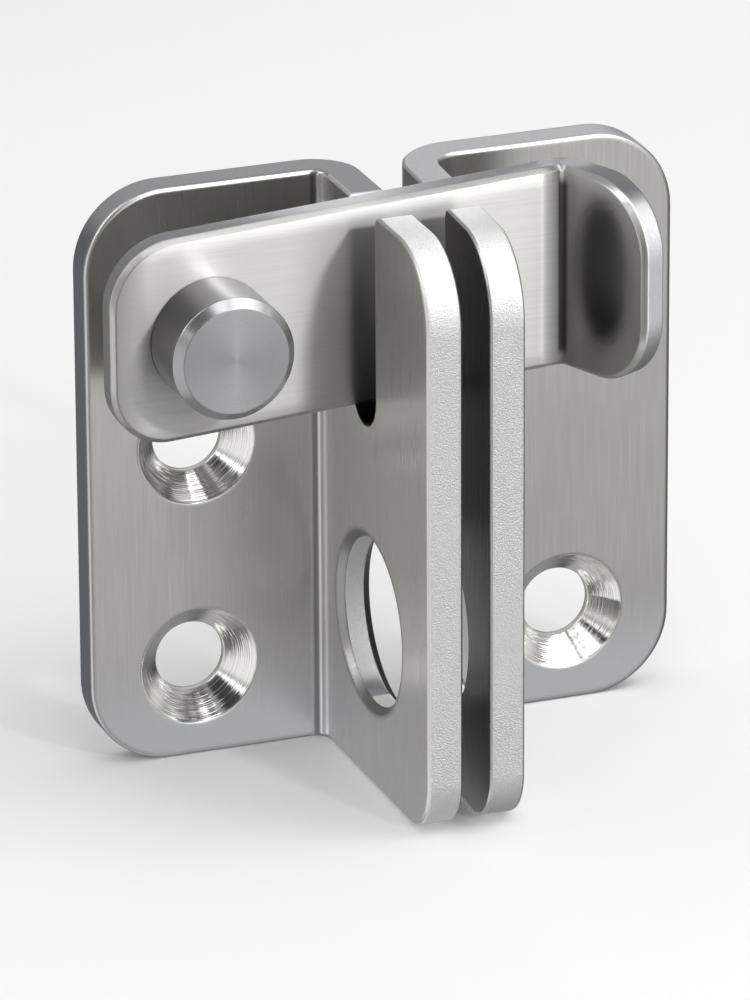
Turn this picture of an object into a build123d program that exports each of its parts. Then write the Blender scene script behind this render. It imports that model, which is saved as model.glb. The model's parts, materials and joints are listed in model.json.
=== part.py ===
from build123d import *
import os
from math import cos, radians, sin, sqrt, tan

# Flip latch in stainless sheet steel for two leaves that meet, such as a pair of doors or a box and its lid.
# Two plates are folded forwards into ears that stand side by side, one on each side of the joint.
# A flat bar turns on a rivet of the base plate and drops into the open notches of both ears.
# Frame: X to the right, Y into the leaf, Z up. The origin is on the mounting plane, midway between the
# two screw holes of the base plate.

# Folded plates
sheet = 3.0  # stock of both plates
plate_height = 50.0
base_width = 23.5  # free edge to the ear's far face
keeper_width = 25.6
ear_gap = 2.4  # between the two ears, at their front edges
ear_reach = 27.3  # mounting plane to the ear's front edge
base_fold_radius = 1.2  # inside of the fold
keeper_fold_radius = 2.4
keeper_ear_lean = 3.0  # degrees; the keeper's fold is a little open, so the gap widens towards the leaf
plate_corner_radius = 7.0
ear_top_radius = 6.5
ear_bottom_radius = 4.8
rolled_edge = 0.4  # rounding that the punch leaves on the face side
burr_edge = 0.2  # light break on the other side

# Countersunk screw holes
screw_hole = 6.0
screw_sink = 10.2
screw_sink_angle = 82.0
base_screw_inset = 9.45  # from the free edge
base_screw_rise = 7.9  # lower hole above the bottom edge
base_screw_pitch = 19.5
keeper_screw_inset = 9.4
keeper_screw_margin = 8.0  # from the bottom and the top edge

# Eye of each ear
eye_diameter = 14.2
eye_reach = 13.6  # mounting plane to the eye's centre
eye_rise = 14.1  # above the bottom edge
eye_face_break = 0.6  # rim on the ear's face side
eye_gap_break = 0.8  # rim towards the other ear

# Flip bar with its finger tab, lying in the notches: its long edges rise to the right, its ends stand upright
bar_thickness = 2.3
bar_above = 8.9  # pivot to the upper edge
bar_below = 8.35  # pivot to the lower edge
bar_slope = 3.65  # degrees
bar_tail = 8.5  # pivot to the free end on the left
bar_run = 30.25  # pivot to the bend of the tab
bar_standoff = 7.35  # plate's face to the bar's back
bar_tail_top_radius = 5.8
bar_tail_bottom_radius = 4.8
bar_bend_radius = 0.4
bar_front_edge = 0.4
bar_back_edge = 0.3
tab_length = 10.1
tab_bend_angle = 70.0
tab_radius = 6.0

# Pivot
pivot_inset = 7.5  # from the base plate's free edge
pivot_drop = 9.65  # below the top edge
shank_diameter = 6.0
running_clearance = 0.05  # radial, around the shank and the peened tail
end_play = 0.1  # axial, on each side of the bar
head_diameter = 10.3
head_height = 5.9
head_chamfer = 0.7
tail_diameter = 8.4  # peened into the plate's back
tail_angle = 90.0
sleeve_diameter = 8.4

# Notch of each ear
notch_width = 5.5
notch_rear_clearance = 0.3  # behind the bar's back
notch_seat_clearance = 0.15  # under the bar's lower back edge
notch_mouth_radius = 1.0

# Places that follow from those sizes
plate_bottom = -(base_screw_rise + base_screw_pitch / 2)
plate_top = plate_bottom + plate_height
base_free_edge = -base_screw_inset
base_ear_far = base_free_edge + base_width
base_ear_face = base_ear_far - sheet
keeper_ear_far = base_ear_far + ear_gap
keeper_ear_face = keeper_ear_far + sheet
keeper_free_edge = keeper_ear_far + keeper_width
keeper_screw_x = keeper_free_edge - keeper_screw_inset
pivot_x = base_free_edge + pivot_inset
pivot_z = plate_top - pivot_drop
bar_back = sheet + bar_standoff
bar_front = bar_back + bar_thickness
bar_left = pivot_x - bar_tail
bar_bend = pivot_x + bar_run
head_seat = bar_front + end_play
head_front = head_seat + head_height
shank_hole = shank_diameter + 2 * running_clearance
selection_margin = 0.01  # for picking edges by their place


def bar_edge_height(x, from_pivot):
    """Height at x of a line along the bar that passes the pivot at a distance, above it or below it."""
    return pivot_z + (x - pivot_x) * tan(radians(bar_slope)) + from_pivot / cos(radians(bar_slope))


# The notch floor lies just under the broken lower edge of the bar's back, where the bar is lowest over an ear
notch_radius = notch_width / 2
notch_reach = bar_back - notch_rear_clearance + notch_radius
bar_lowest = bar_edge_height(base_ear_face, -bar_below)
seat_radius = notch_radius - notch_seat_clearance - bar_back_edge
seat_offset = notch_reach - bar_back - bar_back_edge
notch_floor_centre = bar_lowest + bar_back_edge + sqrt(seat_radius**2 - seat_offset**2)

# Views: the plates' face, the ears from the side and the rivet in section
plate_face = Plane.XZ.offset(sheet)
ear_side = Plane(origin=(0, 0, 0), x_dir=(0, -1, 0), z_dir=(-1, 0, 0))
rivet_section = Plane(origin=(pivot_x, 0, pivot_z), x_dir=(1, 0, 0), z_dir=(0, 0, -1))
pivot_axis = Axis((pivot_x, 0, pivot_z), (0, -1, 0))

os.makedirs("parts", exist_ok=True)

# Notch of an ear seen from the side: a round floor, straight walls and a mouth that is rounded at the ear's top
with BuildSketch(ear_side) as notch:
    with Locations((notch_reach, notch_floor_centre)):
        Circle(notch_radius)
        Rectangle(notch_width, plate_top - notch_floor_centre, align=(Align.CENTER, Align.MIN))
    with Locations((notch_reach, plate_top)):
        Rectangle(notch_width + 4 * notch_mouth_radius, sheet, align=(Align.CENTER, Align.MIN))
    at_top = (plate_top - selection_margin, plate_top + selection_margin)
    mouth_corners = notch.vertices().filter_by_position(Axis.Y, *at_top).sort_by(Axis.X)[1:-1]
    fillet(mouth_corners, notch_mouth_radius)

# Eye of an ear seen from the side
with BuildSketch(ear_side) as eye:
    with Locations((eye_reach, plate_bottom + eye_rise)):
        Circle(eye_diameter / 2)


def folded_plate(free_edge, ear_face, ear_lean, fold_radius, screw_places):
    """A plate from its free edge to the fold, and the ear that stands forwards from it."""
    ear_is_right = ear_face > free_edge
    spread = (ear_reach - sheet) * tan(radians(ear_lean))
    fold = ear_face - spread if ear_is_right else ear_face + spread
    across = 2 * (base_width + ear_gap + keeper_width)
    with BuildPart() as plate:
        with BuildSketch(Plane.XY.offset(plate_bottom)):
            with BuildLine():
                FilletPolyline(
                    (free_edge, -sheet),
                    (fold, -sheet),
                    (ear_face, -ear_reach),
                    radius=fold_radius,
                )
                offset(amount=sheet, side=Side.LEFT if ear_is_right else Side.RIGHT)
            make_face()
        extrude(amount=plate_height)

        # Outline: the plate's free corners and the ear's front corners
        free_end = (free_edge - selection_margin, free_edge + selection_margin)
        fillet(plate.edges().filter_by(Axis.Y).filter_by_position(Axis.X, *free_end), plate_corner_radius)
        ear_front = plate.faces().sort_by(Axis.Y)[0]
        fillet(ear_front.edges().sort_by(Axis.Z)[0], ear_bottom_radius)
        ear_front = plate.faces().sort_by(Axis.Y)[0]
        fillet(ear_front.edges().sort_by(Axis.Z)[-1], ear_top_radius)

        # Edges: the punch's side runs once round the plate's face, the fold's inside and the ear's face
        free_sides = plate.edges().filter_by(Axis.Z).filter_by_position(Axis.X, *free_end)
        fillet(free_sides.sort_by(Axis.Y)[0], rolled_edge)
        free_sides = plate.edges().filter_by(Axis.Z).filter_by_position(Axis.X, *free_end)
        chamfer(free_sides.sort_by(Axis.Y)[-1], burr_edge)

        # Notch and holes; the eye's two rims are the only closed edges until the screw holes are cut
        extrude(notch.sketch, amount=across, both=True, mode=Mode.SUBTRACT)
        extrude(eye.sketch, amount=across, both=True, mode=Mode.SUBTRACT)
        eye_rims = plate.edges().filter_by(lambda edge: edge.is_closed).sort_by(Axis.X)
        chamfer(eye_rims[0], eye_face_break if ear_is_right else eye_gap_break)
        chamfer(eye_rims[-1], eye_gap_break if ear_is_right else eye_face_break)
        with Locations(plate_face):
            with Locations(*screw_places):
                CounterSinkHole(screw_hole / 2, screw_sink / 2, counter_sink_angle=screw_sink_angle)
    return plate.part


base_screws = [(0, -base_screw_pitch / 2), (0, base_screw_pitch / 2)]
keeper_screws = [
    (keeper_screw_x, plate_bottom + keeper_screw_margin),
    (keeper_screw_x, plate_top - keeper_screw_margin),
]
base_blank = folded_plate(base_free_edge, base_ear_face, 0, base_fold_radius, base_screws)
keeper_blank = folded_plate(
    keeper_free_edge,
    keeper_ear_face,
    keeper_ear_lean,
    keeper_fold_radius,
    keeper_screws,
)

# Base plate: the left leaf's plate, with the rivet's hole, sunk at the back for the peened tail
with BuildPart() as base_plate:
    add(base_blank)
    with Locations(Plane(origin=(pivot_x, 0, pivot_z), z_dir=(0, 1, 0))):
        CounterSinkHole(
            shank_hole / 2,
            tail_diameter / 2 + running_clearance,
            counter_sink_angle=tail_angle,
        )
base_plate.part.label = "base_plate"
export_step(base_plate.part, "parts/base_plate.step")

# Keeper plate: the right leaf's plate, whose ear takes the bar's other end
with BuildPart() as keeper_plate:
    add(keeper_blank)
keeper_plate.part.label = "keeper_plate"
export_step(keeper_plate.part, "parts/keeper_plate.step")

# Outline of the bar seen from the front; past the bend its edges run on over the tab
tab_lean = radians(tab_bend_angle)
tab_tip = (bar_bend + tab_length * cos(tab_lean), -bar_front - tab_length * sin(tab_lean))
bar_right = tab_tip[0] + bar_thickness
with BuildSketch(Plane.XZ) as bar_outline:
    with BuildLine():
        Polyline(
            (bar_left, bar_edge_height(bar_left, -bar_below)),
            (bar_right, bar_edge_height(bar_right, -bar_below)),
            (bar_right, bar_edge_height(bar_right, bar_above)),
            (bar_left, bar_edge_height(bar_left, bar_above)),
            close=True,
        )
    make_face()
    fillet(bar_outline.vertices().group_by(Axis.X)[0].sort_by(Axis.Y)[0], bar_tail_bottom_radius)
    fillet(bar_outline.vertices().group_by(Axis.X)[0].sort_by(Axis.Y)[-1], bar_tail_top_radius)

# Flip bar: flat stock cut to that outline and bent forwards at its right end into the finger tab
with BuildPart() as flip_bar:
    with BuildSketch(Plane.XY.offset(pivot_z)):
        with BuildLine():
            FilletPolyline(
                (bar_left, -bar_front),
                (bar_bend, -bar_front),
                tab_tip,
                radius=bar_bend_radius,
            )
            offset(amount=bar_thickness, side=Side.LEFT)
        make_face()
    extrude(amount=plate_height, both=True)
    extrude(bar_outline.sketch, amount=2 * ear_reach, both=True, mode=Mode.INTERSECT)
    tip = flip_bar.faces().sort_by(Axis.Y)[0]
    fillet(tip.edges().sort_by(SortBy.LENGTH)[:2], tab_radius)
    flats = flip_bar.faces().filter_by(Axis.Y).sort_by(Axis.Y)
    chamfer(flats[0].edges().sort_by(SortBy.LENGTH)[-1], bar_front_edge)
    flats = flip_bar.faces().filter_by(Axis.Y).sort_by(Axis.Y)
    chamfer(flats[-1].edges().sort_by(SortBy.LENGTH)[-1], bar_back_edge)
    with Locations(Plane(origin=(pivot_x, -bar_front, pivot_z), z_dir=(0, -1, 0))):
        Hole(shank_hole / 2)
flip_bar.part.label = "flip_bar"
export_step(flip_bar.part, "parts/flip_bar.step")

# Pivot rivet: turned head in front of the bar, shank through bar and sleeve, tail peened flush at the back
tail_depth = (tail_diameter - shank_diameter) / 2 / tan(radians(tail_angle / 2))
with BuildPart() as pivot_rivet:
    with BuildSketch(rivet_section):
        with BuildLine():
            Polyline(
                (0, 0),
                (tail_diameter / 2, 0),
                (shank_diameter / 2, tail_depth),
                (shank_diameter / 2, head_seat),
                (head_diameter / 2, head_seat),
                (head_diameter / 2, head_front - head_chamfer),
                (head_diameter / 2 - head_chamfer, head_front),
                (0, head_front),
                close=True,
            )
        make_face()
    revolve(axis=pivot_axis)
pivot_rivet.part.label = "pivot_rivet"
export_step(pivot_rivet.part, "parts/pivot_rivet.step")

# Spacer sleeve: holds the bar off the plate's face
with BuildPart() as spacer_sleeve:
    with BuildSketch(plate_face):
        with Locations((pivot_x, pivot_z)):
            Circle(sleeve_diameter / 2)
            Circle(shank_hole / 2, mode=Mode.SUBTRACT)
    extrude(amount=bar_standoff - end_play)
spacer_sleeve.part.label = "spacer_sleeve"
export_step(spacer_sleeve.part, "parts/spacer_sleeve.step")
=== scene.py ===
import json
import math

import bmesh
import bpy
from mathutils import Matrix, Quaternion, Vector


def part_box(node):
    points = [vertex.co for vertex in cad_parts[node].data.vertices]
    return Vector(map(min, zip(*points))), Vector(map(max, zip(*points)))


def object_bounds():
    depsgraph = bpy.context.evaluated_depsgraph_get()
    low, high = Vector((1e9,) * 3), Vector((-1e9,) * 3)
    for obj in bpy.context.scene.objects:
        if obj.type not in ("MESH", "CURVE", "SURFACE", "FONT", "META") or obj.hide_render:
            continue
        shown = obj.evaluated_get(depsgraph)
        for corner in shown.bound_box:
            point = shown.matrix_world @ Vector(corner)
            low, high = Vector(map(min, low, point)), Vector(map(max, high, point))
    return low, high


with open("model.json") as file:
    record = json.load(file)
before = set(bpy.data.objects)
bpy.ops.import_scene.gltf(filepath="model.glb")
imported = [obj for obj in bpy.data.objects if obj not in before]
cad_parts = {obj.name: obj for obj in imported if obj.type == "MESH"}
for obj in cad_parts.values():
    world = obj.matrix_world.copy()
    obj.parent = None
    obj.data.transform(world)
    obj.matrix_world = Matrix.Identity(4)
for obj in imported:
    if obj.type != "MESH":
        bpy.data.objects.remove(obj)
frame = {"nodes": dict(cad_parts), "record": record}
cad_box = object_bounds()


# The base plate, screwed to the fixed leaf: a mounting plate and a forward ear in one piece.
# It is punched from 3 mm stainless sheet and folded once. Its faces are brushed upright, its countersinks
# are turned, and its cut edges are left as the punch sheared and tore them.
mm = 0.001
sheet = 3.0
fold_radius = 1.3
fold_margin = 0.1
ear_start = -sheet - fold_radius
fold_front = ear_start - fold_margin
fold_back = -sheet + fold_margin / 2
ear_half = 3.5
tine_back = -12.6
notch_back = -9.85
notch_front = -15.75
notch_floor = 8.0
sink_radius = 5.1
sink_pitch = 0.11
eye = next(mount for mount in frame["record"]["mounts"] if mount["name"] == "lock_eye")
eye_middle = [metres / mm for metres in eye["pos_m"]]
eye_rim_ends = (8.2, 7.6)

upright_brushing = (5.0, 5.0, 0.12)
level_spread = 0.6
worn_sheet = 0.35
brushed_dark = (0.62, 0.613, 0.594)
brushed_light = (0.70, 0.692, 0.673)
brush_mark = (0.36, 0.355, 0.35)
brush_mark_share = 0.14
# Painted reflection of the floor: the plates turn lighter and bluer towards their bottom.
floor_reflection_tint = (0.70, 0.715, 0.74)
floor_reflection_ends = (-8.0, -16.0)
# Painted shade: dark lines along the creases of the fold.
fold_crease_shade = (0.1, 0.1, 0.11)
fold_shade_share = 0.6
# Painted shade: the ear's face towards the other ear is dark, as the gap between the ears.
inner_ear_shade = (0.28, 0.275, 0.275)
# Painted light: the ear's face away from the other ear is lighter.
outer_ear_painted_light = (0.92, 0.91, 0.885)
outer_ear_light_share = 0.55
torn_dark = (0.93, 0.935, 0.935)
torn_light = (1.0, 1.0, 0.995)
torn_hollow = (0.62, 0.625, 0.63)
torn_hollow_share = 0.2
sheared_side = (0.24, 0.248, 0.27)
# Painted shade: the walls of the notch are darkened, where shade falls.
notch_shade = (0.05, 0.05, 0.05)
# Painted shade on the rim of the lock eye.
eye_rim_shade = (0.12, 0.12, 0.12)
eye_rim_shade_share = 0.6
sink_dark = (0.68, 0.67, 0.655)
sink_light = (0.97, 0.96, 0.94)


def add(tree, kind, inputs=(), **settings):
    """Put a shader node into a tree, with settings, and with sockets given as links or values."""
    made = tree.nodes.new("ShaderNode" + kind)
    for name, value in settings.items():
        setattr(made, name, value)
    for socket, value in dict(inputs).items():
        if isinstance(value, bpy.types.NodeSocket):
            tree.links.new(value, made.inputs[socket])
        else:
            made.inputs[socket].default_value = value
    return made


def calc(tree, operation, *values):
    """One sum of a mask or a height."""
    return add(tree, "Math", enumerate(values), operation=operation).outputs[0]


def both(tree, *masks):
    """The mask where all of these masks hold."""
    shared = masks[0]
    for mask in masks[1:]:
        shared = calc(tree, "MULTIPLY", shared, mask)
    return shared


def between(tree, value, low, high):
    """The mask where a value lies between two bounds."""
    return both(tree, calc(tree, "GREATER_THAN", value, low), calc(tree, "LESS_THAN", value, high))


def ramp(tree, value, low, high, to_low=0.0, to_high=1.0):
    """Spread a value between two bounds, smoothly and never past them."""
    sockets = {"Value": value, "From Min": low, "From Max": high, "To Min": to_low, "To Max": to_high}
    return add(tree, "MapRange", sockets, interpolation_type="SMOOTHSTEP").outputs["Result"]


def band(tree, value, start, full, fade, end):
    """The mask of a band: none up to start, all from full to fade, and none past end."""
    return both(tree, ramp(tree, value, start, full), ramp(tree, value, end, fade))


def unsigned(tree, value):
    """A value without its sign."""
    return calc(tree, "ABSOLUTE", value)


def vector_sum(tree, operation, *values):
    """One sum of places or directions."""
    return add(tree, "VectorMath", enumerate(values), operation=operation).outputs[0]


def along(tree, place, direction):
    """Distance of a place along a direction."""
    return add(tree, "VectorMath", {0: place, 1: direction}, operation="DOT_PRODUCT").outputs["Value"]


def distance_from(tree, place, middle, weights):
    """Distance of a place from a middle, with X, Y and Z weighed."""
    offset = vector_sum(tree, "MULTIPLY", vector_sum(tree, "SUBTRACT", place, middle), weights)
    return add(tree, "VectorMath", {0: offset}, operation="LENGTH").outputs["Value"]


def parts_of(tree, vector):
    """The X, Y and Z of a place or direction."""
    return add(tree, "SeparateXYZ", {0: vector}).outputs


def noise(tree, place, scale, detail=2.0, roughness=0.5):
    """Plain noise over the surface; scale is in grains per millimetre."""
    sockets = {"Vector": place, "Scale": scale, "Detail": detail, "Roughness": roughness}
    return add(tree, "TexNoise", sockets).outputs["Fac"]


def blend(tree, factor, low, high):
    """A value between two values."""
    return add(tree, "Mix", {0: factor, 2: low, 3: high}).outputs[0]


def tint(tree, factor, low, high):
    """A colour between two colours."""
    made = add(tree, "Mix", {0: factor}, data_type="RGBA")
    for socket, colour in ((6, low), (7, high)):
        if isinstance(colour, bpy.types.NodeSocket):
            tree.links.new(colour, made.inputs[socket])
        else:
            made.inputs[socket].default_value = (*colour, 1.0)
    return made.outputs[2]


def layered(tree, colour, *layers):
    """A colour with others laid over it in turn, each by its own mask."""
    for mask, layer in layers:
        colour = tint(tree, mask, colour, layer)
    return colour


def scaled(colour, share):
    """A colour made darker or lighter."""
    return [channel * share for channel in colour]


def new_group(name, inputs, outputs):
    """An empty node group with its sockets, and the nodes that its inputs and outputs stand on."""
    group = bpy.data.node_groups.new(name, "ShaderNodeTree")
    for label, kind in inputs.items():
        group.interface.new_socket(label, in_out="INPUT", socket_type="NodeSocket" + kind)
    for label, kind in outputs.items():
        group.interface.new_socket(label, in_out="OUTPUT", socket_type="NodeSocket" + kind)
    entry = group.nodes.new("NodeGroupInput").outputs
    result = group.nodes.new("NodeGroupOutput").inputs
    return group, entry, result


brushed, entry, result = new_group(
    "brushed_faces",
    {"Place": "Vector", "Stretch": "Vector"},
    {"Lines": "Float", "Clouds": "Float"},
)
stretched = vector_sum(brushed, "MULTIPLY", entry["Place"], entry["Stretch"])
brushed.links.new(noise(brushed, stretched, scale=1.0, detail=3.0, roughness=0.65), result["Lines"])
brushed.links.new(noise(brushed, entry["Place"], scale=0.16), result["Clouds"])

torn, entry, result = new_group("torn_edges", {"Place": "Vector"}, {"Grain": "Float", "Dents": "Float"})
torn.links.new(noise(torn, entry["Place"], scale=7.5, detail=3.0, roughness=0.6), result["Grain"])
torn.links.new(noise(torn, entry["Place"], scale=0.8, detail=4.0, roughness=0.6), result["Dents"])

turned, entry, result = new_group(
    "turned_rings",
    {"Place": "Vector", "Axis": "Vector", "Pitch": "Float"},
    {"Rings": "Float", "Distance": "Float"},
)
about_y = (1.0, 0.0, 1.0)
distance = distance_from(turned, entry["Place"], entry["Axis"], about_y)
ring_count = calc(turned, "DIVIDE", distance, entry["Pitch"])
ring_sockets = {"W": ring_count, "Scale": 1.0, "Detail": 2.0, "Roughness": 0.6}
ring_noise = add(turned, "TexNoise", ring_sockets, noise_dimensions="1D")
turned.links.new(ring_noise.outputs["Fac"], result["Rings"])
turned.links.new(distance, result["Distance"])

cut, entry, result = new_group(
    "cut_edges",
    {"Place": "Vector", "Normal": "Vector", "Ear X": "Float"},
    {"Torn": "Float", "Sheared": "Float"},
)
facing_elsewhere = (0.7, 0.4)
facing_up_or_down = (0.75, 0.92)
not_level = (0.98, 0.8)
where = parts_of(cut, entry["Place"])
facing = parts_of(cut, entry["Normal"])
sideways, forwards, upwards = (unsigned(cut, facing[axis]) for axis in "XYZ")
past_fold = calc(cut, "LESS_THAN", where["Y"], ear_start)
off_ear = unsigned(cut, calc(cut, "SUBTRACT", where["X"], entry["Ear X"]))
on_plate = calc(cut, "GREATER_THAN", off_ear, sheet)
on_tine = calc(cut, "LESS_THAN", where["Y"], tine_back)
tearing = calc(cut, "MAXIMUM", ramp(cut, upwards, *not_level), on_tine)
plate_cut = both(cut, on_plate, ramp(cut, forwards, *facing_elsewhere))
end_cut = ramp(cut, upwards, *facing_up_or_down)
cut.links.new(both(cut, past_fold, tearing, ramp(cut, sideways, *facing_elsewhere)), result["Torn"])
cut.links.new(calc(cut, "MAXIMUM", end_cut, plate_cut), result["Sheared"])


def grouped(tree, group, **inputs):
    """Outputs of a node group placed in a material with its own values."""
    made = add(tree, "Group", node_tree=group)
    for label, value in inputs.items():
        socket = made.inputs[label.replace("_", " ")]
        if isinstance(value, bpy.types.NodeSocket):
            tree.links.new(value, socket)
        else:
            socket.default_value = value
    return made.outputs


def new_material(name, spread, turn=0.0):
    """A metal with its shader, and the part's own coordinates in millimetres; spread draws its gloss out,
    level by itself and upright after a quarter turn."""
    material = bpy.data.materials.new(name)
    material.use_nodes = True
    tree = material.node_tree
    shader = tree.nodes["Principled BSDF"]
    shader.inputs["Metallic"].default_value = 1.0
    shader.inputs["Anisotropic"].default_value = spread
    shader.inputs["Anisotropic Rotation"].default_value = turn
    coordinates = add(tree, "TexCoord").outputs
    in_millimetres = {0: coordinates["Object"], "Scale": 1 / mm}
    place = add(tree, "VectorMath", in_millimetres, operation="SCALE").outputs[0]
    return material, tree, shader, place, coordinates["Normal"]


def finish_surface(tree, shader, colour, roughness, height, worn_radius):
    """Lead a colour, a roughness and a height in millimetres to the shader, with its edges worn round."""
    tree.links.new(colour, shader.inputs["Base Color"])
    tree.links.new(roughness, shader.inputs["Roughness"])
    worn = add(tree, "Bevel", {"Radius": worn_radius * mm}, samples=8)
    sockets = {"Height": height, "Strength": 1.0, "Distance": mm, "Normal": worn.outputs["Normal"]}
    bump = add(tree, "Bump", sockets)
    tree.links.new(bump.outputs["Normal"], shader.inputs["Normal"])


noise_wide = (0.2, 0.8)
noise_middle = (0.3, 0.7)
grain_hollows = (0.62, 0.36)
front_limit = 0.1
facing_inwards = (0.8, 0.95)
facing_outwards = (-0.8, -0.95)
facing_up = (0.4, 0.8)
inner_crease = (0.1, 0.3, 0.52, 0.62)
outer_crease = (0.66, 0.74, 0.84, 0.95)
notch_wall_facing = (0.7, 0.5)
eye_rim_facing = (0.2, 0.5)
about_x = (0.0, 1.0, 1.0)
brushed_rough = (0.26, 0.34)
torn_rough = (0.5, 0.62)
sink_rough = 0.09
brushed_depth = 0.0012
torn_depth = 0.08
sink_depth = 0.012
sheared_blue = 1.04


def plate_steel(name, ear_middle, holes, inner_side, shade, upper_edge_light):
    """Sheet for one plate; inner_side is the way its ear faces the other ear. Its face shade darkens its
    faces as painted shade, and its upper-edge grey lightens its upward cut edges as painted light."""
    material, tree, shader, place, normal = new_material(name, level_spread)
    faces = grouped(tree, brushed, Place=place, Stretch=upright_brushing)
    edges = grouped(tree, torn, Place=place)
    cuts = grouped(tree, cut, Place=place, Normal=normal, Ear_X=ear_middle)
    where = parts_of(tree, place)
    facing = parts_of(tree, normal)
    sideways = unsigned(tree, facing["X"])
    inwards = calc(tree, "MULTIPLY", facing["X"], inner_side)
    front = calc(tree, "LESS_THAN", facing["Y"], front_limit)
    off_ear = unsigned(tree, calc(tree, "SUBTRACT", where["X"], ear_middle))
    on_ear = calc(tree, "LESS_THAN", off_ear, ear_half)

    in_fold = both(
        tree,
        calc(tree, "LESS_THAN", off_ear, sheet),
        front,
        between(tree, where["Y"], fold_front, fold_back),
    )
    creases = calc(tree, "ADD", band(tree, sideways, *inner_crease), band(tree, sideways, *outer_crease))
    fold_shade_lines = both(tree, in_fold, creases, fold_shade_share)
    shaded_inner_ear = both(tree, ramp(tree, inwards, *facing_inwards), on_ear)
    lit_outer_ear = both(tree, ramp(tree, inwards, *facing_outwards), on_ear, outer_ear_light_share)
    shaded_notch = both(
        tree,
        between(tree, where["Y"], notch_front, notch_back),
        calc(tree, "GREATER_THAN", where["Z"], notch_floor),
        ramp(tree, sideways, *notch_wall_facing),
    )
    shaded_eye_rim = both(
        tree,
        ramp(tree, distance_from(tree, place, eye_middle, about_x), *eye_rim_ends),
        ramp(tree, sideways, *eye_rim_facing),
        eye_rim_shade_share,
    )
    in_sink = 0.0
    sink_rings = 0.0
    for hole in holes:
        rings = grouped(tree, turned, Place=place, Axis=hole, Pitch=sink_pitch)
        inside = both(tree, calc(tree, "LESS_THAN", rings["Distance"], sink_radius), front)
        in_sink = calc(tree, "MAXIMUM", in_sink, inside)
        sink_rings = calc(tree, "ADD", sink_rings, both(tree, inside, rings["Rings"]))

    # Painted light: cut edges that face up take this lighter grey, and the others take the darker sheared
    # side.
    lit_upper_grey = (upper_edge_light, upper_edge_light, upper_edge_light * sheared_blue)
    torn_colour = tint(tree, edges["Dents"], torn_dark, torn_light)
    hollows = ramp(tree, edges["Grain"], *grain_hollows, to_high=torn_hollow_share)
    colour = layered(
        tree,
        tint(tree, faces["Clouds"], scaled(brushed_dark, shade), scaled(brushed_light, shade)),
        (ramp(tree, faces["Lines"], *noise_middle, to_high=brush_mark_share), brush_mark),
        # painted reflection of the floor, lighter and bluer low down
        (ramp(tree, where["Z"], *floor_reflection_ends), floor_reflection_tint),
        # painted shade along the fold's creases
        (fold_shade_lines, fold_crease_shade),
        # painted shade on the ear's face towards the other ear
        (shaded_inner_ear, inner_ear_shade),
        # painted light on the ear's face away from the other ear
        (lit_outer_ear, outer_ear_painted_light),
        # cut edges, with painted light making those that face up lighter
        (cuts["Sheared"], tint(tree, ramp(tree, facing["Z"], *facing_up), sheared_side, lit_upper_grey)),
        (cuts["Torn"], tint(tree, hollows, torn_colour, torn_hollow)),
        # painted shade on the notch walls
        (shaded_notch, notch_shade),
        # painted shade on the rim of the lock eye
        (shaded_eye_rim, eye_rim_shade),
        (in_sink, tint(tree, sink_rings, sink_dark, sink_light)),
    )
    rough = ramp(tree, faces["Lines"], *noise_wide, *brushed_rough)
    rough = blend(tree, cuts["Torn"], rough, ramp(tree, edges["Grain"], *noise_middle, *torn_rough))
    rough = blend(tree, in_sink, rough, sink_rough)
    height = calc(tree, "MULTIPLY", faces["Lines"], brushed_depth)
    height = blend(tree, cuts["Torn"], height, calc(tree, "MULTIPLY", edges["Grain"], torn_depth))
    height = blend(tree, in_sink, height, calc(tree, "MULTIPLY", sink_rings, sink_depth))
    finish_surface(tree, shader, colour, rough, height, worn_sheet)
    return material


def screw_holes(mount_name):
    """Places of a mount's two holes, in millimetres, one above the other."""
    mount = next(mount for mount in frame["record"]["mounts"] if mount["name"] == mount_name)
    x, y, z = (metres / mm for metres in mount["pos_m"])
    half = mount["dims"]["spacing_y_mm"] / 2
    return [(x, y, z - half), (x, y, z + half)]


base_low, base_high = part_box("base_plate")
base_steel = plate_steel(
    "base_steel",
    ear_middle=base_high[0] / mm - sheet / 2,
    holes=screw_holes("base_screws"),
    inner_side=1.0,
    shade=1.0,
    # painted light along the upper edge
    upper_edge_light=0.48,
)
frame["nodes"]["base_plate"].material_slots[0].material = base_steel


# The keeper plate, screwed to the leaf that opens: the same sheet, folded the other hand.
# It is brushed, countersunk and torn at its edges as the base plate is. Painted shade makes its faces a
# little darker and painted light makes its upper edge lighter.
keeper_low, keeper_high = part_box("keeper_plate")
keeper_steel = plate_steel(
    "keeper_steel",
    ear_middle=keeper_low[0] / mm + sheet / 2,
    holes=screw_holes("keeper_screws"),
    inner_side=-1.0,
    # painted shade: faces a little darker than the base plate's
    shade=0.88,
    # painted light along the upper edge
    upper_edge_light=0.85,
)
frame["nodes"]["keeper_plate"].material_slots[0].material = keeper_steel


# The pivot rivet and the sleeve on its shank, both turned from stainless bar.
# The rivet passes the bar, the sleeve and the base plate, and its tail is peened flush behind the plate.
# The tool leaves fine rings on the head's face and round its side.
rivet_pitch = 0.09
round_brushing = (0.3, 9.0, 0.3)
turned_spread = 0.7
quarter_turn = 0.25
worn_rivet = 0.15
turned_dark = (0.40, 0.408, 0.418)
turned_light = (0.47, 0.477, 0.485)
rivet_side_grey = (0.57, 0.565, 0.555)
rivet_edge_grey = (0.42, 0.425, 0.43)
rivet_side_facing = (0.5, 0.2)
rivet_edge_facing = (0.3, 0.5, 0.9, 0.97)
rivet_face_rough = (0.26, 0.32)
rivet_side_rough = 0.18
turned_depth = 0.005


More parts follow.
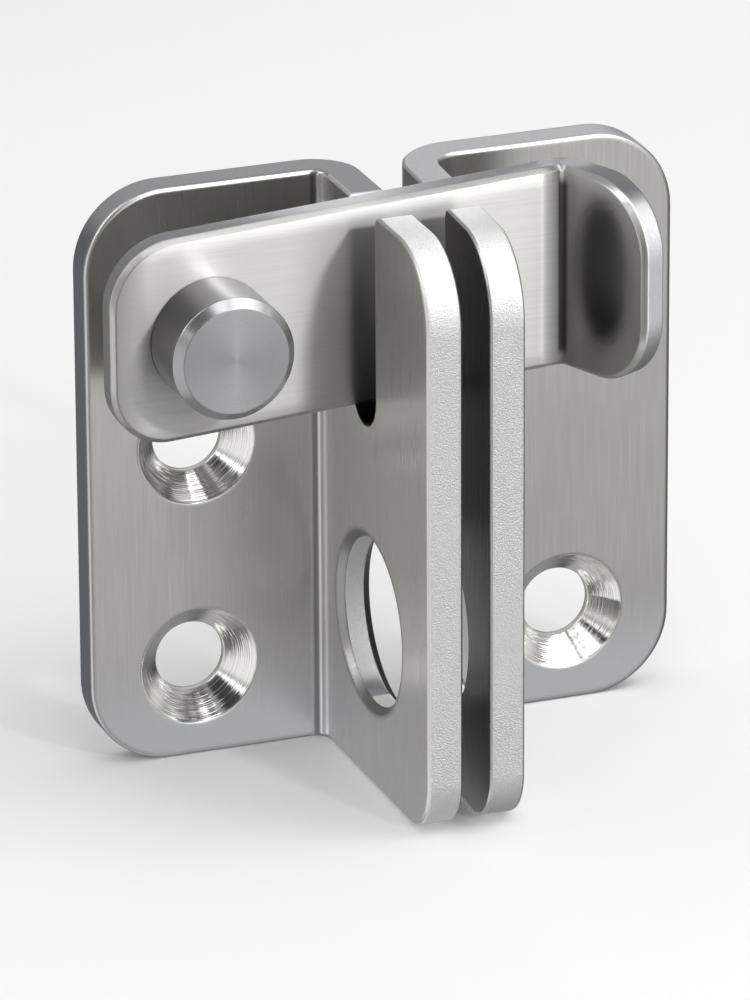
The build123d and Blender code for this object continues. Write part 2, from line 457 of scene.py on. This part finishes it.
def turned_steel(name, axis):
    """Fine turned steel about one axis, with its gloss drawn out across the rings."""
    material, tree, shader, place, normal = new_material(name, turned_spread, quarter_turn)
    round_axis = add(tree, "Tangent", direction_type="RADIAL", axis="Y").outputs["Tangent"]
    tree.links.new(round_axis, shader.inputs["Tangent"])
    rings = grouped(tree, turned, Place=place, Axis=axis, Pitch=rivet_pitch)
    faces = grouped(tree, brushed, Place=place, Stretch=round_brushing)
    end_on = unsigned(tree, parts_of(tree, normal)["Y"])
    side = ramp(tree, end_on, *rivet_side_facing)
    colour = layered(
        tree,
        tint(tree, rings["Rings"], turned_dark, turned_light),
        (side, rivet_side_grey),
        (band(tree, end_on, *rivet_edge_facing), rivet_edge_grey),
    )
    rough = ramp(tree, faces["Lines"], *noise_wide, *rivet_face_rough)
    rough = blend(tree, side, rough, rivet_side_rough)
    height = calc(tree, "MULTIPLY", calc(tree, "ADD", rings["Rings"], faces["Lines"]), turned_depth)
    finish_surface(tree, shader, colour, rough, height, worn_rivet)
    return material


pivot = next(joint for joint in frame["record"]["behaviour"]["joints"] if joint["name"] == "bar_flip")
pivot_axis = [metres / mm for metres in pivot["pos_m"]]
rivet_steel = turned_steel("rivet_steel", pivot_axis)
for name in ("pivot_rivet", "spacer_sleeve"):
    frame["nodes"][name].material_slots[0].material = rivet_steel


# The flip bar, which turns on the rivet and drops into the ears' notches.
# It is flat stainless bar, punched to length and bent once for the finger tab, and brushed along its length,
# so that its gloss is drawn out upright. The punch has rolled its outline. Painted shade darkens it towards
# the pivot and in the bend's crease, painted light lightens the tab and its tip, and a painted dark
# reflection lies on the tab, which is smoother there.
bar_slope = math.radians(3.65)
bar_tail = 8.5
bar_above = 8.9
bar_below = 8.35
bar_run = 30.25
bar_front = 12.65
bar_uphill = (-math.sin(bar_slope), 0.0, math.cos(bar_slope))
from_wall = (0.0, -1.0, 0.0)
tail_roll = (3.4, -0.3)
upper_roll = (1.7, -0.25)
lower_roll = (1.5, -0.22)
bend_swell = (1.9, 0.4)
# Where the painted shade of the bend's crease lies.
crease_half = (0.34, 0.16)
crease_reach = (7.9, 6.9)
# Where the tab carries a painted dark reflection, smoother than the rest of the bar.
blot_forward = bar_front + 4.7
blot_above = 0.6
blot_half_width = 4.2
blot_half_height = 7.8
blot_ends = (1.0, 0.5)
# Painted shade: between these runs the bar darkens towards its pivot end.
pivot_shade_ends = (4.0, 24.0)
tab_ends = (bar_run + 0.3, bar_run + 0.9)

lengthwise_brushing = (0.1, 6.0, 6.0)
upright_spread = 0.95
worn_bar = 0.25
# Painted shade: the darker colour near the pivot, and the lighter colour towards the tab.
pivot_shade_dark = (0.45, 0.446, 0.434)
pivot_shade_light = (0.505, 0.501, 0.488)
far_end_dark = (0.535, 0.53, 0.516)
far_end_light = (0.60, 0.595, 0.581)
bar_mark = (0.34, 0.335, 0.33)
bar_mark_share = 0.22
# Painted light: the tab is lighter than the rest of the bar.
tab_painted_light = (0.71, 0.705, 0.69)
bar_cut_dark = (0.44, 0.44, 0.46)
bar_cut_light = (0.54, 0.54, 0.56)
# Painted light on the cut edge of the tab's tip.
tip_painted_light = (0.88, 0.88, 0.90)
# Painted shade in the crease of the bend.
crease_shade = (0.03, 0.03, 0.03)
crease_shade_share = 0.85
# Painted dark reflection on the tab.
blot_reflection_dark = (0.22, 0.22, 0.22)
blot_reflection_share = 0.7
tip_facing_right = (0.1, 0.3)
tip_facing_front = (-0.5, -0.7)
tail_facing = (-0.96, -0.99)
long_edge_facing = (0.7, 0.9)
crease_facing = (-0.2, -0.3)
tab_facing = (-0.6, -0.8)
bar_rough = (0.36, 0.42)
bar_cut_rough = (0.42, 0.6)
blot_rough = 0.1
bar_brushed_depth = 0.0013
bar_cut_depth = 0.03


def bar_steel(name):
    """Finely brushed bar with a rolled outline; painted shade towards the pivot and in the bend's crease,
    painted light on the tab and its tip, and a painted dark reflection on the tab, which is smoother there.
    """
    material, tree, shader, place, normal = new_material(name, upright_spread, quarter_turn)
    faces = grouped(tree, brushed, Place=place, Stretch=lengthwise_brushing)
    edges = grouped(tree, torn, Place=place)
    facing = parts_of(tree, normal)
    from_pivot = vector_sum(tree, "SUBTRACT", place, pivot_axis)
    run = parts_of(tree, from_pivot)["X"]
    rise = along(tree, from_pivot, bar_uphill)
    forward = along(tree, from_pivot, from_wall)
    aside = calc(tree, "SUBTRACT", rise, (bar_above - bar_below) / 2)

    tip = both(tree, ramp(tree, facing["X"], *tip_facing_right), ramp(tree, facing["Y"], *tip_facing_front))
    tail = ramp(tree, facing["X"], *tail_facing)
    long_edge = ramp(tree, unsigned(tree, facing["Z"]), *long_edge_facing)
    sheared = calc(tree, "MAXIMUM", calc(tree, "MAXIMUM", tip, tail), long_edge)
    crease = both(
        tree,
        ramp(tree, unsigned(tree, calc(tree, "SUBTRACT", run, bar_run)), *crease_half),
        ramp(tree, unsigned(tree, aside), *crease_reach),
        ramp(tree, facing["Y"], *crease_facing),
        crease_shade_share,
    )
    tab_place = add(tree, "CombineXYZ", {"X": forward, "Y": aside}).outputs[0]
    blot_middle = (blot_forward, blot_above, 0.0)
    blot_weights = (1 / blot_half_width, 1 / blot_half_height, 0.0)
    # The tab's painted dark reflection, an oval on its inner face.
    tab_reflection_blot = both(
        tree,
        ramp(tree, distance_from(tree, tab_place, blot_middle, blot_weights), *blot_ends),
        ramp(tree, facing["X"], *tab_facing),
        calc(tree, "GREATER_THAN", run, bar_run),
    )

    shaded_pivot_end = tint(tree, faces["Clouds"], pivot_shade_dark, pivot_shade_light)
    far_end_colour = tint(tree, faces["Clouds"], far_end_dark, far_end_light)
    cut_colour = tint(tree, edges["Dents"], bar_cut_dark, bar_cut_light)
    colour = layered(
        tree,
        # painted shade, darker towards the pivot end
        tint(tree, ramp(tree, run, *pivot_shade_ends), shaded_pivot_end, far_end_colour),
        (ramp(tree, faces["Lines"], *noise_middle, to_high=bar_mark_share), bar_mark),
        # painted light on the tab
        (ramp(tree, run, *tab_ends), tab_painted_light),
        # cut edges, with painted light on the tab's tip
        (sheared, tint(tree, tip, cut_colour, tip_painted_light)),
        # painted shade in the bend's crease
        (crease, crease_shade),
        # painted dark reflection on the tab
        (calc(tree, "MULTIPLY", tab_reflection_blot, blot_reflection_share), blot_reflection_dark),
    )
    rough = ramp(tree, faces["Lines"], *noise_wide, *bar_rough)
    rough = blend(tree, sheared, rough, ramp(tree, edges["Grain"], *noise_middle, *bar_cut_rough))
    rough = blend(tree, tab_reflection_blot, rough, blot_rough)
    height = calc(tree, "MULTIPLY", faces["Lines"], bar_brushed_depth)
    height = calc(tree, "ADD", height, both(tree, edges["Grain"], sheared, bar_cut_depth))
    for edge, outward, (width, depth) in (
        (bar_tail, calc(tree, "MULTIPLY", run, -1.0), tail_roll),
        (bar_above, rise, upper_roll),
        (bar_below, calc(tree, "MULTIPLY", rise, -1.0), lower_roll),
        (bar_run, run, bend_swell),
    ):
        share = calc(tree, "DIVIDE", calc(tree, "SUBTRACT", outward, edge - width), width)
        share = calc(tree, "MINIMUM", calc(tree, "MAXIMUM", share, 0.0), 1.0)
        height = calc(tree, "ADD", height, both(tree, share, share, depth))
    finish_surface(tree, shader, colour, rough, height, worn_bar)
    return material


frame["nodes"]["flip_bar"].material_slots[0].material = bar_steel("flip_bar_steel")


# The studio floor, a wide sheet of pale paper under the latch's lower edges.
# It takes the latch's shadow, and the metal mirrors the tent below instead of the paper.
floor_reach = 3.0
floor_level = base_low[2]
paper_white = (0.93, 0.93, 0.93, 1.0)
paper_rough = 0.9
floor_corners = [
    (x * floor_reach, y * floor_reach, floor_level)
    for x, y in ((-1, -1), (1, -1), (1, 1), (-1, 1))
]
floor_mesh = bpy.data.meshes.new("floor")
floor_mesh.from_pydata(floor_corners, [], [(0, 1, 2, 3)])
floor = bpy.data.objects.new("floor", floor_mesh)
floor.visible_glossy = False
bpy.context.scene.collection.objects.link(floor)
paper = bpy.data.materials.new("floor_paper")
paper.use_nodes = True
paper_shader = paper.node_tree.nodes["Principled BSDF"]
paper_shader.inputs["Base Color"].default_value = paper_white
paper_shader.inputs["Roughness"].default_value = paper_rough
paper_shader.inputs["Specular IOR Level"].default_value = 0.0
floor_mesh.materials.append(paper)


# The light tent round the latch, a ball of grey cloth with soft panels, lighter and darker than the cloth.
# Only the latch's metal sees it, so it gives the metal its gloss and lights nothing else.
tent_radius = 0.9
tent_subdivisions = 5
tent_cloth = 0.45
tent_panels = (
    # towards, full inside so many degrees, gone beyond so many, brightness
    ((0.45, -0.85, 0.25), 24, 44, 1.15),
    ((-0.62, -0.69, -0.36), 14, 26, 0.24),
    ((0.85, -0.40, -0.35), 14, 28, 0.12),
    ((-0.2, -0.2, -1.0), 30, 55, 0.4),
    ((-0.70, -0.06, 0.70), 18, 28, 3.0),
    ((0.65, 0.48, -0.60), 26, 40, 0.07),
    ((-0.36, -0.93, 0.0), 9, 16, 0.1),
    ((-0.92, 0.0, -0.30), 34, 44, 0.95),
    ((-0.45, -0.75, 0.45), 15, 28, 0.2),
    ((-0.58, -0.40, 0.71), 15, 22, 0.05),
    ((0.0, 1.0, 0.0), 40, 70, 0.42),
    ((0.33, 0.87, 0.36), 15, 35, 0.55),
    ((0.33, -0.30, 0.89), 13, 22, 1.8),
    ((-0.33, 0.87, -0.36), 22, 36, 0.3),
    ((0.36, -0.86, 0.36), 8, 14, 2.4),
    ((0.33, 0.87, -0.36), 22, 36, 0.3),
)
middle = Vector([(low + high) / 2 for low, high in zip(*cad_box)])
tent_mesh = bpy.data.meshes.new("light_tent")
tent_shape = bmesh.new()
bmesh.ops.create_icosphere(tent_shape, subdivisions=tent_subdivisions, radius=tent_radius)
tent_shape.to_mesh(tent_mesh)
tent_shape.free()
tent = bpy.data.objects.new("light_tent", tent_mesh)
tent.location = middle
for rays in ("camera", "diffuse", "transmission", "volume_scatter", "shadow"):
    setattr(tent, "visible_" + rays, False)
bpy.context.scene.collection.objects.link(tent)
cloth = bpy.data.materials.new("tent_cloth")
cloth.use_nodes = True
cloth_tree = cloth.node_tree
cloth_tree.nodes.clear()
towards = vector_sum(cloth_tree, "NORMALIZE", add(cloth_tree, "TexCoord").outputs["Object"])
brightness = tent_cloth
for direction, inside, beyond, level in tent_panels:
    nearness = along(cloth_tree, towards, Vector(direction).normalized())
    covers = ramp(cloth_tree, nearness, math.cos(math.radians(beyond)), math.cos(math.radians(inside)))
    brightness = blend(cloth_tree, covers, brightness, level)
glow = add(cloth_tree, "Emission", {"Strength": brightness})
cloth_tree.links.new(glow.outputs[0], add(cloth_tree, "OutputMaterial").inputs["Surface"])
cloth.cycles.emission_sampling = "NONE"
tent_mesh.materials.append(cloth)


# The room, a plain white one that lights the floor, and three lamps turned to the latch.
# Two soft ones stand overhead and draw the bright rims; the small key lamp at front right throws
# the base ear's shadow on the bar.
room_white = (1.0, 1.0, 1.0, 1.0)
room_light = 0.72
world = bpy.data.worlds.new("room")
bpy.context.scene.world = world
world.use_nodes = True
world.cycles_visibility.glossy = False
room_sockets = world.node_tree.nodes["Background"].inputs
room_sockets["Color"].default_value = room_white
room_sockets["Strength"].default_value = room_light


def soft_lamp(name, width, depth, power, offset):
    """A soft rectangular lamp, placed from the latch's middle and turned to it; metres and watts."""
    lamp = bpy.data.lights.new(name, "AREA")
    lamp.shape = "RECTANGLE"
    lamp.size = width
    lamp.size_y = depth
    lamp.energy = power
    made = bpy.data.objects.new(name, lamp)
    made.location = middle + Vector(offset)
    made.rotation_mode = "QUATERNION"
    made.rotation_quaternion = (-Vector(offset)).to_track_quat("-Z", "Y")
    bpy.context.scene.collection.objects.link(made)


soft_lamp("right_lamp", width=0.34, depth=0.45, power=1.2, offset=(0.38, -0.22, 0.5))
soft_lamp("middle_lamp", width=0.15, depth=0.25, power=0.3, offset=(-0.035, -0.175, 0.5))
soft_lamp("key_lamp", width=0.06, depth=0.06, power=0.9, offset=(0.232, -0.674, 0.370))


# The camera, at the photograph's view: from the left of the latch and above it, with a long lens.
# Its place and lens are those that the photograph's points were fitted with.
view_target = Vector((12.98, -10.05, 5.67)) * mm
view_azimuth = math.radians(-20.5)
view_elevation = math.radians(21.15)
view_roll = math.radians(-0.296)
view_distance = 670.5 * mm
lens_length = 294.4
sensor_width = 36.0
backwards = Vector((
    math.sin(view_azimuth) * math.cos(view_elevation),
    -math.cos(view_azimuth) * math.cos(view_elevation),
    math.sin(view_elevation),
))
camera_data = bpy.data.cameras.new("camera")
camera_data.lens = lens_length
camera_data.sensor_width = sensor_width
camera = bpy.data.objects.new("camera", camera_data)
camera.location = view_target + backwards * view_distance
camera.rotation_mode = "QUATERNION"
camera.rotation_quaternion = (-backwards).to_track_quat("-Z", "Y") @ Quaternion((0, 0, 1), view_roll)
bpy.context.scene.collection.objects.link(camera)
bpy.context.scene.camera = camera
bpy.context.scene.view_settings.view_transform = "Standard"
